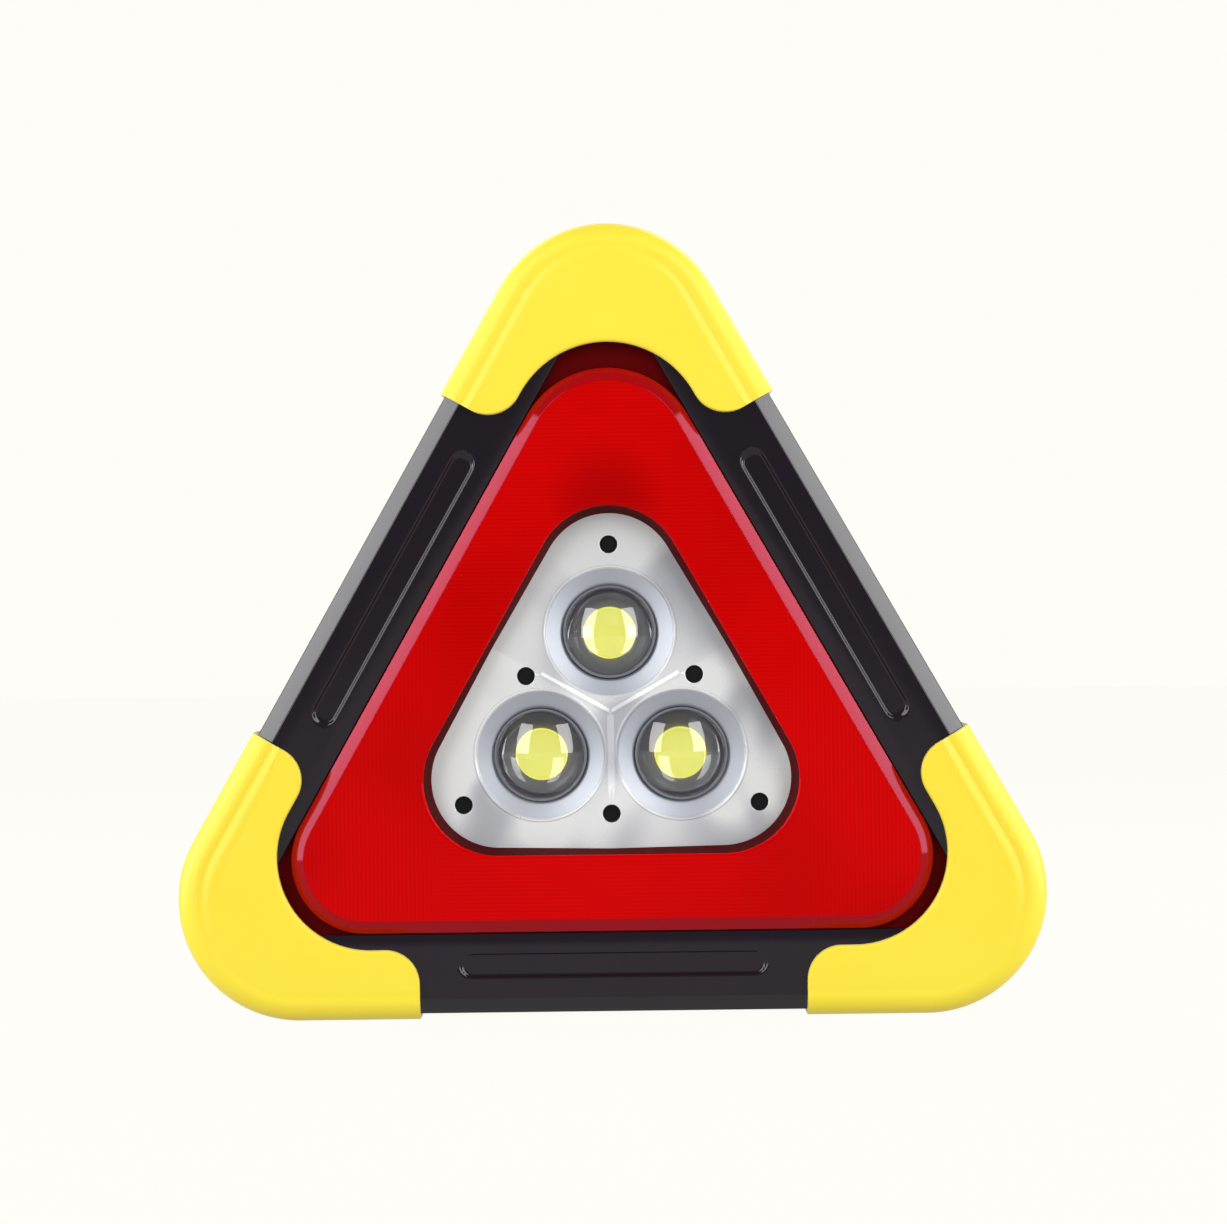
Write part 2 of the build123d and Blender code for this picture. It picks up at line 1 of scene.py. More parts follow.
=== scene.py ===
import json
import math

import bmesh
import bpy
import numpy as np
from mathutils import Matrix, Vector
from mathutils.geometry import delaunay_2d_cdt


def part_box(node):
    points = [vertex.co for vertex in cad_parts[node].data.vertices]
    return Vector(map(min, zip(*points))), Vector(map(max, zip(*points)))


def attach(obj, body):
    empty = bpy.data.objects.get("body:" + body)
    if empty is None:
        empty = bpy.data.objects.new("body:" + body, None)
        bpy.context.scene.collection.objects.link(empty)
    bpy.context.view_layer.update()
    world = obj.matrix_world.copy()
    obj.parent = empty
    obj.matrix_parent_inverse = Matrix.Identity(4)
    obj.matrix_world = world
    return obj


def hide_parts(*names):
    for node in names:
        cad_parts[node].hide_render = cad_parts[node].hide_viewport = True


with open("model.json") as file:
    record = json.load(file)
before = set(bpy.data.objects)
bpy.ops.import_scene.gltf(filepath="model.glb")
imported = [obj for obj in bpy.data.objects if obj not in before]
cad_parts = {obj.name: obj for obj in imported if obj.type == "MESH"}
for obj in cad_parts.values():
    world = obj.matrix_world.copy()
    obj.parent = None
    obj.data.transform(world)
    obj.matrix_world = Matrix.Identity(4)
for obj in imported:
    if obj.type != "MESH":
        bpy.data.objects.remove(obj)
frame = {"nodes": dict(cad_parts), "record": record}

# The looks of a battery warning triangle and work light. Shapes are worked out in millimetres: x to
# the right, z up, and "depth" forwards from the middle plane, so y is minus the depth. "inset" is the
# distance inwards from the outer edge of the corner guards.
MM = 0.001
NODES = frame["nodes"]
BODY_OF = {node: body for body, nodes in frame["record"]["behaviour"]["bodies"].items() for node in nodes}
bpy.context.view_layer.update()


# ---------------------------------------------------------------- sizes taken from the frame

def front_of(node):
    """How far in front of the middle plane a CAD node reaches, in mm."""
    return -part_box(node)[0].y / MM


def back_of(node):
    """The depth of a CAD node's back, in mm."""
    return -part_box(node)[1].y / MM


guard_boxes = [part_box(f"corner_guard_{name}") for name in ("top", "left", "right")]
WIDTH = 2 * max(high.x for low, high in guard_boxes) / MM
HEIGHT = max(high.z for low, high in guard_boxes) / MM
GUARD_DEPTH, GUARD_BACK = front_of("corner_guard_top"), back_of("corner_guard_top")
FACE_DEPTH, JOINT_DEPTH = front_of("front_frame"), back_of("front_frame")
LENS_DEPTH, APEX_DEPTH = front_of("warning_lens"), front_of("reflector_plate")

# Sizes that the boxes don't give, as the parts are drawn: first the casing and its guards
CORNER_RADIUS = 37.2
CASING_INSET, CHAMFER, WALL = 1.5, 5.0, 2.4
BACK_DEPTH, BACK_CHAMFER = -17.0, 3.0
WINDOW_INSET, WINDOW_RADIUS = 26.3, 13.0
POCKET_LENGTH, POCKET_WIDTH, POCKET_SINK, POCKET_INSET = 94.0, 7.3, 0.8, 16.4
BAR_BETWEEN_GUARDS, GUARD_WIDTH, GUARD_TOE = 119.0, 21.5, 10.5
GUARD_HOLLOW = {"top": 30.5, "left": 28.5, "right": 28.5}
# The lens: its radii are those of the lower corners and of the top one
LENS_INSET, LENS_BASE, LENS_TOP, BEVEL_WIDTH, LENS_WALL = 26.5, 22.5, 28.3, 3.8, 2.0
FLANGE_INSET, FLANGE_RADIUS = 23.8, 15.5
WELL_INSET, WELL_RADIUS, WELL_SLOPE = 50.0, 23.0, math.tan(math.radians(14.0))
# The plate: the lamps' orbit and the ridges' end are distances from the centre
PLATE_INSET, PLATE_RADIUS, PLATE_THICKNESS = 50.8, 22.2, 0.8
FACET_TILT, LAMP_ORBIT = math.radians(4.0), 25.2
RIDGE_HEIGHT, RIDGE_HALF_WIDTH, RIDGE_END = 0.4, 1.05, 24.5
PLATE_SCREWS = [(0, 145.3), (0, 62.4), (-45.6, 65.4), (45.6, 65.4), (-25.9, 105.0), (25.9, 105.0)]

# The triangle through the centres of the corner arcs, and the centre that every outline shares
half_base, rise = WIDTH / 2 - CORNER_RADIUS, HEIGHT - 2 * CORNER_RADIUS
slant = math.hypot(half_base, rise)
INRADIUS = half_base * rise / (half_base + slant)
CENTRE = np.array([0.0, CORNER_RADIUS + INRADIUS])
CORNERS = {
    "right": np.array([half_base, CORNER_RADIUS]),
    "top": np.array([0.0, HEIGHT - CORNER_RADIUS]),
    "left": np.array([-half_base, CORNER_RADIUS]),
}
LEAN = math.atan2(half_base, rise)
# Each corner's arc runs between the outward directions of the two sides that meet there
ARC = {
    "right": (-math.pi / 2, LEAN),
    "top": (LEAN, math.pi - LEAN),
    "left": (math.pi - LEAN, 1.5 * math.pi),
}
SIDE_LENGTH = {"bottom": 2 * half_base, "left": slant, "right": slant}
# The sides that a corner's arc starts and ends on
ARMS = {"right": ("bottom", "right"), "top": ("right", "left"), "left": ("left", "bottom")}


# ---------------------------------------------------------------- meshes

def lift(plan, depth):
    """Plan points (..., 2) in x and z, and their depths, as (..., 3) points in metres."""
    depth = np.broadcast_to(depth, plan.shape[:-1])
    return np.stack([plan[..., 0], -depth, plan[..., 1]], axis=-1) * MM


def grid_faces(rows, columns, wrap_rows, wrap_columns):
    """Quads that join a grid's points to their neighbours, as an (n, 4) array of indices."""
    row = np.arange(rows if wrap_rows else rows - 1)[:, None]
    column = np.arange(columns if wrap_columns else columns - 1)[None, :]
    right, below = (column + 1) % columns, (row + 1) % rows
    corners = [
        row * columns + column, row * columns + right, below * columns + right, below * columns + column,
    ]
    return np.stack([np.broadcast_to(c, (row.size, column.size)) for c in corners], axis=-1).reshape(-1, 4)


def make_piece(name, points, faces, materials, replaces, sharp=35.0, merge=0.0, finishes=None, flat=()):
    """Builds a mesh object from points in metres and faces, smooth but for edges sharper than an angle.

    finishes gives each face's place in the list of materials, and flat the places that aren't smoothed.
    """
    mesh = bpy.data.meshes.new(name)
    mesh.from_pydata(np.asarray(points).reshape(-1, 3).tolist(), [], [tuple(map(int, f)) for f in faces])
    if finishes is not None:
        mesh.polygons.foreach_set("material_index", np.asarray(finishes, dtype=np.int32))
    for material in materials:
        mesh.materials.append(material)
    piece = bpy.data.objects.new(name, mesh)
    bpy.context.scene.collection.objects.link(piece)
    tidy_mesh(mesh, sharp, merge)
    if flat:
        places = np.empty(len(mesh.polygons), dtype=np.int32)
        mesh.polygons.foreach_get("material_index", places)
        mesh.polygons.foreach_set("use_smooth", ~np.isin(places, flat))
    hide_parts(*replaces)
    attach(piece, BODY_OF[replaces[0]])
    return piece


def tidy_mesh(mesh, sharp, merge):
    """Merges doubled points, turns every face outwards, and smooths all but the sharp edges."""
    work = bmesh.new()
    work.from_mesh(mesh)
    if merge:
        bmesh.ops.remove_doubles(work, verts=work.verts, dist=merge * MM)
    bmesh.ops.recalc_face_normals(work, faces=work.faces)
    work.to_mesh(mesh)
    work.free()
    mesh.shade_smooth()
    mesh.set_sharp_from_angle(angle=math.radians(sharp))


def softened(name, node, material, width=0.4, angle=32.0):
    """A copy of a CAD node's shape, merged, with edges sharper than an angle rounded by that many mm."""
    piece = bpy.data.objects.new(name, NODES[node].data.copy())
    bpy.context.scene.collection.objects.link(piece)
    piece.data.materials.clear()
    tidy_mesh(piece.data, angle, 0.001)
    piece.data.materials.append(material)
    soften_edges(piece, width, angle, segments=2)
    weighted = piece.modifiers.new("flat faces stay flat", "WEIGHTED_NORMAL")
    weighted.weight = 100
    weighted.keep_sharp = True
    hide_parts(node)
    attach(piece, BODY_OF[node])


def turned_points(plane, profile, steps):
    """A profile of (radius, height) rows turned round an axis.

    The point at angle a is origin + radius (cos a along x_way + sin a along y_way) + height normal.
    """
    origin, x_way, y_way, normal = plane
    profile = np.asarray(profile, float)
    angle = np.arange(steps) * 2 * math.pi / steps
    spoke = np.cos(angle)[:, None] * x_way + np.sin(angle)[:, None] * y_way
    return origin + profile[:, 0][:, None, None] * spoke + profile[:, 1][:, None, None] * normal


def rounded_path(corners, radii, steps=5):
    """A path through corners with each inner corner rounded by a circular arc, as an (n, 2) array.

    The arc of radius r at a corner where the path turns by t starts r tan(t / 2) before it, and its
    points are centre + r (cos, sin) between the two directions square to the path.
    """
    corners = np.asarray(corners, float)
    path = [corners[:1]]
    for before, here, after, radius in zip(corners[:-2], corners[1:-1], corners[2:], radii):
        come, go = here - before, after - here
        come, go = come / np.hypot(*come), go / np.hypot(*go)
        turn = math.atan2(come[0] * go[1] - come[1] * go[0], come @ go)
        if radius == 0 or abs(turn) < 1e-6:
            path.append(here[None])
            continue
        setback = radius * abs(math.tan(turn / 2))
        side = math.copysign(1.0, turn)
        centre = here - come * setback + side * radius * np.array([-come[1], come[0]])
        start = math.atan2(-side * come[0], side * come[1])
        angle = start + np.linspace(0, turn, steps + 1)
        path.append(centre + radius * np.stack([np.cos(angle), np.sin(angle)], axis=-1))
    path.append(corners[-1:])
    return np.concatenate(path)


# ---------------------------------------------------------------- the triangle's outlines

def ring(inset, base_radius, top_radius=None, side_shares=None, arc_steps=36):
    """The lamp's triangle, inset from its outer edge, as a closed (n, 2) array of x and z.

    Each corner is an arc of its own radius r about centre + (corner - centre) (R + i - inset - r) / i,
    where R is the guards' corner radius and i the inradius; straight runs join the arcs.
    """
    if side_shares is None:
        side_shares = np.linspace(0, 1, 26)[1:-1]
    arcs = []
    for name in ("right", "top", "left"):
        radius = (top_radius or base_radius) if name == "top" else base_radius
        reach = (INRADIUS + CORNER_RADIUS - inset - radius) / INRADIUS
        angle = np.linspace(*ARC[name], arc_steps + 1)
        middle = CENTRE + (CORNERS[name] - CENTRE) * reach
        arcs.append(middle + radius * np.stack([np.cos(angle), np.sin(angle)], axis=-1))
    points = []
    for here, after in zip(arcs, arcs[1:] + arcs[:1]):
        run = here[-1] + np.asarray(side_shares)[:, None] * (after[0] - here[-1])
        points += [here, run]
    return np.concatenate(points)


def facet_height(plan):
    """The depth of the plate's three facets at plan points: the lowest of the three tilted planes."""
    offset = plan - CENTRE
    ways = np.array([(c - CENTRE) / np.hypot(*(c - CENTRE)) for c in CORNERS.values()])
    return APEX_DEPTH - np.max(offset @ ways.T, axis=-1) * math.tan(FACET_TILT)


def side_way(name_a, name_b):
    """The outward direction of the side between two corners, taken against the clock."""
    run = CORNERS[name_b] - CORNERS[name_a]
    return np.array([run[1], -run[0]]) / np.hypot(*run)


SIDE_WAYS = [side_way("right", "top"), side_way("top", "left"), side_way("left", "right")]


def ridge_height(plan):
    """The height of the thin ridges between the dishes, in mm: h max(0, 1 - distance to the line / w).

    The lines run from the centre straight towards each side, and the ridges end at the middle screws.
    """
    offset = plan - CENTRE
    height = np.zeros(len(offset))
    for way in SIDE_WAYS:
        along, off = offset @ way, np.abs(offset @ np.array([-way[1], way[0]]))
        beside = (along > -0.01) & (along < RIDGE_END + 0.01)
        height = np.maximum(height, RIDGE_HEIGHT * np.maximum(0, 1 - off / RIDGE_HALF_WIDTH) * beside)
    return height


def facet_frame(name, orbit):
    """The origin and three directions of a facet's plane, in metres, orbit mm from the centre."""
    way = (CORNERS[name] - CENTRE) / np.hypot(*(CORNERS[name] - CENTRE))
    normal = np.array([way[0] * math.sin(FACET_TILT), -math.cos(FACET_TILT), way[1] * math.sin(FACET_TILT)])
    slope = np.array([way[0] * math.cos(FACET_TILT), math.sin(FACET_TILT), way[1] * math.cos(FACET_TILT)])
    apex = np.array([CENTRE[0], -APEX_DEPTH, CENTRE[1]])
    across = np.cross(normal, slope)
    return (apex + slope * orbit) * MM, slope * MM, across * MM, normal * MM


# ---------------------------------------------------------------- materials

def linear(code):
    """An sRGB hex colour as linear red, green, blue and alpha."""
    parts = [int(code[i:i + 2], 16) / 255 for i in (1, 3, 5)]
    return [p / 12.92 if p <= 0.04045 else ((p + 0.055) / 1.055) ** 2.4 for p in parts] + [1.0]


def add_node(tree, kind, settings=None, inputs=None):
    """Adds a node, sets its properties, and sets or links its inputs, which are values or outputs."""
    made = tree.nodes.new(kind)
    for name, value in (settings or {}).items():
        setattr(made, name, value)
    for name, value in (inputs or {}).items():
        if isinstance(value, bpy.types.NodeSocket):
            tree.links.new(value, made.inputs[name])
        else:
            made.inputs[name].default_value = value
    return made


def start_material(name, shader_inputs):
    """A material with a Principled shader and the object's coordinates, in metres."""
    material = bpy.data.materials.new(name)
    material.use_nodes = True
    tree = material.node_tree
    tree.nodes.clear()
    place = add_node(tree, "ShaderNodeTexCoord").outputs["Object"]
    shader = add_node(tree, "ShaderNodeBsdfPrincipled", None, shader_inputs)
    add_node(tree, "ShaderNodeOutputMaterial", None, {"Surface": shader.outputs[0]})
    return material, tree, place, shader


def moulded(name, low, high, roughness, grain_mm, grain_depth_mm, shader_inputs, rough_spread=0.06):
    """A finish off a mould: two close shades in soft clouds, fine surface grain, and uneven gloss.

    The grain is given in mm, its size and its depth. A real tool's grain of 0.1 mm or less is too fine
    to show, so it is drawn as coarse as it needs to be.
    """
    cloud_mm = 33.3
    material, tree, place, shader = start_material(name, shader_inputs)
    clouds = add_node(
        tree, "ShaderNodeTexNoise", None, {"Vector": place, "Scale": 1 / (cloud_mm * MM), "Detail": 3.0},
    )
    shade = add_node(
        tree, "ShaderNodeMix", {"data_type": "RGBA"},
        {0: clouds.outputs["Fac"], 6: linear(low), 7: linear(high)},
    )
    gloss = add_node(
        tree, "ShaderNodeMapRange", None,
        {"Value": clouds.outputs["Fac"], "From Min": 0.3, "From Max": 0.7,
         "To Min": roughness - rough_spread / 2, "To Max": roughness + rough_spread / 2},
    )
    grain = add_node(
        tree, "ShaderNodeTexNoise", None,
        {"Vector": place, "Scale": 1 / (grain_mm * MM), "Detail": 2.0},
    )
    bump = add_node(
        tree, "ShaderNodeBump", None,
        {"Height": grain.outputs["Fac"], "Distance": grain_depth_mm * MM, "Strength": 1.0},
    )
    tree.links.new(shade.outputs[2], shader.inputs["Base Color"])
    tree.links.new(gloss.outputs[0], shader.inputs["Roughness"])
    tree.links.new(bump.outputs[0], shader.inputs["Normal"])
    return material


def lacquered(name, dark, bright, roughness, band_mm):
    """Silver lacquer, metal flake in a pale binder, with soft bands of painted reflection, brighter and greyer.
    """
    gloss_step = 0.04
    material, tree, place, shader = start_material(name, {"Metallic": 0.4, "IOR": 1.5})
    bands = add_node(
        tree, "ShaderNodeTexNoise", None,
        {"Vector": place, "Scale": 1 / (band_mm * MM), "Detail": 1.0, "Distortion": 0.4},
    )
    # Painted reflection: soft noise bands, brighter and greyer, stand in for broad reflections of the room
    painted_reflection = add_node(
        tree, "ShaderNodeMapRange", {"interpolation_type": "SMOOTHSTEP"},
        {"Value": bands.outputs["Fac"], "From Min": 0.36, "From Max": 0.6, "To Min": 0.0, "To Max": 1.0},
    )
    shade = add_node(
        tree, "ShaderNodeMix", {"data_type": "RGBA"},
        {0: painted_reflection.outputs[0], 6: linear(dark), 7: linear(bright)},
    )
    gloss = add_node(
        tree, "ShaderNodeMapRange", None,
        {"Value": painted_reflection.outputs[0], "From Min": 0.0, "From Max": 1.0, "To Min": roughness + gloss_step,
         "To Max": roughness - gloss_step},
    )
    tree.links.new(shade.outputs[2], shader.inputs["Base Color"])
    tree.links.new(gloss.outputs[0], shader.inputs["Roughness"])
    return material


# Gloss black ABS, injection moulded in a polished tool: near-mirror reflections with a faint waviness
black_abs = moulded("gloss black ABS", "#170C1C", "#140A14", 0.12, 9.0, 0.02, {"IOR": 1.53})
# The same ABS from a spark-eroded tool, on the back and the stand: a fine dull grain
grained_abs = moulded("grained black ABS", "#151216", "#1B171B", 0.42, 0.5, 0.03, {"IOR": 1.53})
# Thermoplastic rubber, overmoulded: soft satin yellow
yellow_rubber = moulded(
    "yellow thermoplastic rubber", "#F9E032", "#FBE438", 0.42, 0.6, 0.006,
    {"IOR": 1.5, "Sheen Weight": 0.35, "Sheen Roughness": 0.4},
)
# Polycarbonate, injection moulded: a satin grey, dark for the switch and paler for the lamps' cups
dark_holder = moulded("dark grey PC", "#3A3A40", "#44444B", 0.3, 0.8, 0.01, {"IOR": 1.58})
grey_holder = moulded("grey PC", "#6C6C76", "#787882", 0.32, 0.8, 0.01, {"IOR": 1.58})
# Silver lacquer on ABS: bright, with soft broad bands of painted reflection
silver = lacquered("silver lacquer on ABS", "#BEC0C8", "#FAFBFD", 0.3, 30.0)
# Bare metal coat over a bead-blasted tool, on the floor of each dish: an even grey
satin_silver = moulded("bead-blasted metallised ABS", "#BEC2CC", "#C6CAD3", 0.5, 0.5, 0.01, {"Metallic": 1.0})
# Phosphor in silicone over the chips, with a painted glow: it gives off a little light though the lamps are off
phosphor_painted_glow = moulded(
    "YAG phosphor in silicone", "#EDEB62", "#F2F07C", 0.5, 0.4, 0.02,
    {"IOR": 1.41, "Emission Color": linear("#F2F060"), "Emission Strength": 0.6},
)
# Nickel over drawn steel: bright, a little warm, with small soft highlights
steel = moulded("nickel-plated steel", "#B8B7B4", "#C6C5C2", 0.28, 0.7, 0.01, {"Metallic": 1.0})
# Steel blackened in a salt bath: nearly black, with a faint oily gloss
black_steel = moulded("black oxide steel", "#0B0B0D", "#121214", 0.4, 0.5, 0.01, {"Metallic": 0.6})
# Aluminium die casting: pale grey with a fine cast skin
aluminium = moulded("cast aluminium", "#B9BBC0", "#C6C8CC", 0.45, 0.9, 0.03, {"Metallic": 1.0})
# Green solder mask over glass and epoxy board: smooth and slightly cloudy
circuit_board = moulded("solder mask on FR4", "#0F4A26", "#14562D", 0.35, 1.5, 0.01, {"IOR": 1.55})
# Cast epoxy with red dye, the bodies of the small LEDs: glossy and saturated
red_epoxy = moulded("tinted epoxy", "#C81410", "#D21A14", 0.2, 2.0, 0.005, {"IOR": 1.54})
# Shrunk PVC film round the cells: dark, tight and glossy
cell_wrap = moulded("PVC shrink wrap", "#2B3138", "#353B43", 0.25, 4.0, 0.02, {"IOR": 1.53})
# Pressed silicone rubber, the button's cap: soft, dull and near black
silicone = moulded("silicone rubber", "#26262A", "#2E2E33", 0.55, 0.5, 0.02, {"IOR": 1.43})


def prismed_acrylic():
    """Red PMMA with fine prisms moulded inside: upright ones in the lower corners, level ones elsewhere.

    Light that enters the prisms comes back in thin lines, so they are drawn as colour. The red is darker
    in broad patches, with painted shade above the well's top corner, and the polished outer skin is nearly
    smooth.
    """
    line_patch_mm, shadow_mm, ripple_mm, prism_pitch_mm = 45.5, 62.5, 12.5, 1.25
    corner_from, corner_to = 0.048, 0.062
    material, tree, place, shader = start_material(
        "red PMMA", {"IOR": 1.49, "Roughness": 0.06, "Specular Tint": linear("#FF5060")},
    )
    split = add_node(tree, "ShaderNodeSeparateXYZ", None, {"Vector": place})
    across = add_node(tree, "ShaderNodeMath", {"operation": "ABSOLUTE"}, {0: split.outputs["X"]})
    corner = add_node(
        tree, "ShaderNodeMapRange", {"interpolation_type": "SMOOTHSTEP"},
        {"Value": across.outputs[0], "From Min": corner_from, "From Max": corner_to, "To Min": 0.0,
         "To Max": 1.0},
    )
    # A band repeats every 2 pi / (20 scale)
    lines = [
        add_node(
            tree, "ShaderNodeTexWave", {"wave_type": "BANDS", "bands_direction": direction},
            {"Vector": place, "Scale": math.pi / 10 / (prism_pitch_mm * MM), "Distortion": 0.6,
             "Detail": 1.0, "Detail Scale": 0.4},
        )
        for direction in ("X", "Z")
    ]
    wave = add_node(
        tree, "ShaderNodeMix", {"data_type": "FLOAT"},
        {0: corner.outputs[0], 2: lines[1].outputs["Fac"], 3: lines[0].outputs["Fac"]},
    )
    clouds = add_node(
        tree, "ShaderNodeTexNoise", None,
        {"Vector": place, "Scale": 1 / (line_patch_mm * MM), "Detail": 2.0},
    )
    patchy = add_node(
        tree, "ShaderNodeMath", {"operation": "MULTIPLY"}, {0: wave.outputs[0], 1: clouds.outputs["Fac"]},
    )
    lined = add_node(
        tree, "ShaderNodeMix", {"data_type": "RGBA"},
        {0: patchy.outputs[0], 6: linear("#D00403"), 7: linear("#B80303")},
    )
    above = add_node(
        tree, "ShaderNodeVectorMath", {"operation": "DISTANCE"},
        {0: place, 1: (0.0, -LENS_DEPTH * MM, 158 * MM)},
    )
    # Painted shade: the red darkens towards a point above the well's top corner
    painted_top_shade = add_node(
        tree, "ShaderNodeMapRange", {"interpolation_type": "SMOOTHSTEP"},
        {"Value": above.outputs["Value"], "From Min": 4 * MM, "From Max": 24 * MM, "To Min": 0.55,
         "To Max": 0.0},
    )
    shadow = add_node(
        tree, "ShaderNodeTexNoise", None, {"Vector": place, "Scale": 1 / (shadow_mm * MM), "Detail": 1.0},
    )
    dim = add_node(
        tree, "ShaderNodeMapRange", {"interpolation_type": "SMOOTHSTEP"},
        {"Value": shadow.outputs["Fac"], "From Min": 0.42, "From Max": 0.7, "To Min": 0.0, "To Max": 0.3},
    )
    patches_and_painted_shade = add_node(
        tree, "ShaderNodeMath", {"operation": "MAXIMUM"}, {0: dim.outputs[0], 1: painted_top_shade.outputs[0]},
    )
    shade = add_node(
        tree, "ShaderNodeMix", {"data_type": "RGBA"},
        {0: patches_and_painted_shade.outputs[0], 6: lined.outputs[2], 7: linear("#8E0202")},
    )
    tree.links.new(shade.outputs[2], shader.inputs["Base Color"])
    ripple = add_node(
        tree, "ShaderNodeTexNoise", None, {"Vector": place, "Scale": 1 / (ripple_mm * MM), "Detail": 1.0},
    )
    bump = add_node(
        tree, "ShaderNodeBump", None,
        {"Height": ripple.outputs["Fac"], "Distance": 0.01 * MM, "Strength": 1.0},
    )
    tree.links.new(bump.outputs[0], shader.inputs["Normal"])
    return material


red_acrylic = prismed_acrylic()
# The polished bevel of the same PMMA, with clean highlights: a darker copy of the red, painted shade
red_bevel_painted_shade = moulded(
    "red PMMA, bevel with painted shade", "#A20305", "#A80408", 0.08, 12.0, 0.01,
    {"IOR": 1.49, "Specular Tint": linear("#FF97C0")}, rough_spread=0.02,
)
# Its etched inner wall and its flange: dull, in darker copies of the red, painted shade
red_wall_painted_shade = moulded(
    "red PMMA, wall with painted shade", "#520103", "#460102", 0.6, 1.0, 0.01, {"IOR": 1.49, "Specular IOR Level": 0.03},
)
red_flange_painted_shade = moulded(
    "red PMMA, flange with painted shade", "#5E0104", "#520103", 0.4, 1.0, 0.01, {"IOR": 1.49, "Specular IOR Level": 0.04},
)


def clear_acrylic():
    """Clear PMMA, cast and polished: sharp highlights, and the parts behind it drawn larger."""
    film_mm = 11.1
    material, tree, place, shader = start_material(
        "clear PMMA",
        {"IOR": 1.49, "Transmission Weight": 1.0, "Base Color": linear("#F4F6FA"), "Coat Weight": 1.0,
         "Coat IOR": 1.6, "Coat Roughness": 0.02},
    )
    film = add_node(
        tree, "ShaderNodeTexNoise", None, {"Vector": place, "Scale": 1 / (film_mm * MM), "Detail": 2.0},
    )
    haze = add_node(
        tree, "ShaderNodeMapRange", None,
        {"Value": film.outputs["Fac"], "From Min": 0.4, "From Max": 0.8, "To Min": 0.0, "To Max": 0.04},
    )
    tree.links.new(haze.outputs[0], shader.inputs["Roughness"])
    return material


clear_lens = clear_acrylic()


# ---------------------------------------------------------------- front frame

def slot_distance(plan, name_a, name_b):
    """How far inside the pocket of one bar each plan point is, in mm, and negative outside it.

    The pocket is a straight slot with round ends: half its width, less the distance to its middle line.
    """
    start, end = CORNERS[name_a], CORNERS[name_b]
    run = (end - start) / np.hypot(*(end - start))
    normal = np.array([run[1], -run[0]])
    middle = (start + end) / 2 + normal * (CORNER_RADIUS - POCKET_INSET)
    offset = plan - middle
    along = np.abs(offset @ run) - (POCKET_LENGTH - POCKET_WIDTH) / 2
    return POCKET_WIDTH / 2 - np.hypot(np.maximum(along, 0), offset @ normal)


def smooth_step(value):
    """0 below 0, 1 above 1, and an S-shaped rise between them."""
    value = np.clip(value, 0, 1)
    return value * value * (3 - 2 * value)


def make_front_frame():
    """The frame's section carried round the triangle, with the pocket of each bar pressed in.

    Depth on the face is face depth - sink * S(distance inside the slot / slope width + 0.3). The rows
    are close together over the pockets' width, and the columns over their round ends.
    """
    slope_width, edge_break, inner_chamfer, face_rows = 1.1, 0.35, 3.6, 46
    outer = rounded_path(
        [(CASING_INSET + edge_break, JOINT_DEPTH), (CASING_INSET, JOINT_DEPTH + edge_break),
         (CASING_INSET, FACE_DEPTH - CHAMFER), (CASING_INSET + CHAMFER, FACE_DEPTH),
         (WINDOW_INSET, FACE_DEPTH), (WINDOW_INSET, FACE_DEPTH - WALL)],
        [0, 0.8, 0.8, 0.5],
    )
    face_start, face_end = POCKET_INSET - POCKET_WIDTH / 2 - 1, POCKET_INSET + POCKET_WIDTH / 2 + 1
    split = np.searchsorted(outer[:, 0], face_start)
    face = np.stack([np.linspace(face_start, face_end, face_rows), np.full(face_rows, FACE_DEPTH)], axis=-1)
    inner = [
        (CASING_INSET + WALL + inner_chamfer, FACE_DEPTH - WALL),
        (CASING_INSET + WALL, FACE_DEPTH - WALL - inner_chamfer),
        (CASING_INSET + WALL, JOINT_DEPTH),
    ]
    profile = np.concatenate([outer[:split], face, outer[split:], inner])
    ends = np.linspace(0.24, 0.30, 18)
    shares = np.concatenate([
        [0.06, 0.12, 0.18], ends, np.linspace(0.34, 0.66, 9), 1 - ends[::-1], [0.82, 0.88, 0.94],
    ])
    # The outer corners' radius shrinks with the inset, and passes over to the window's from here on
    blend_start = 20.0
    plan = []
    for inset, _ in profile:
        radius = CORNER_RADIUS - min(inset, blend_start)
        blend = smooth_step((inset - blend_start) / (WINDOW_INSET - blend_start))
        plan.append(ring(inset, radius + blend * (WINDOW_RADIUS - radius), side_shares=shares, arc_steps=28))
    plan = np.array(plan)
    depth = np.repeat(profile[:, 1][:, None], plan.shape[1], axis=1)
    bars = (("left", "right"), ("right", "top"), ("top", "left"))
    inside = np.max([slot_distance(plan, a, b) for a, b in bars], axis=0)
    on_face = np.abs(depth - FACE_DEPTH) < 1e-3
    depth = depth - on_face * POCKET_SINK * smooth_step(inside / slope_width + 0.3)
    faces = grid_faces(*plan.shape[:2], True, True)
    make_piece("front_frame_shell", lift(plan, depth), faces, [black_abs], ["front_frame"], sharp=40)


# ---------------------------------------------------------------- corner guards

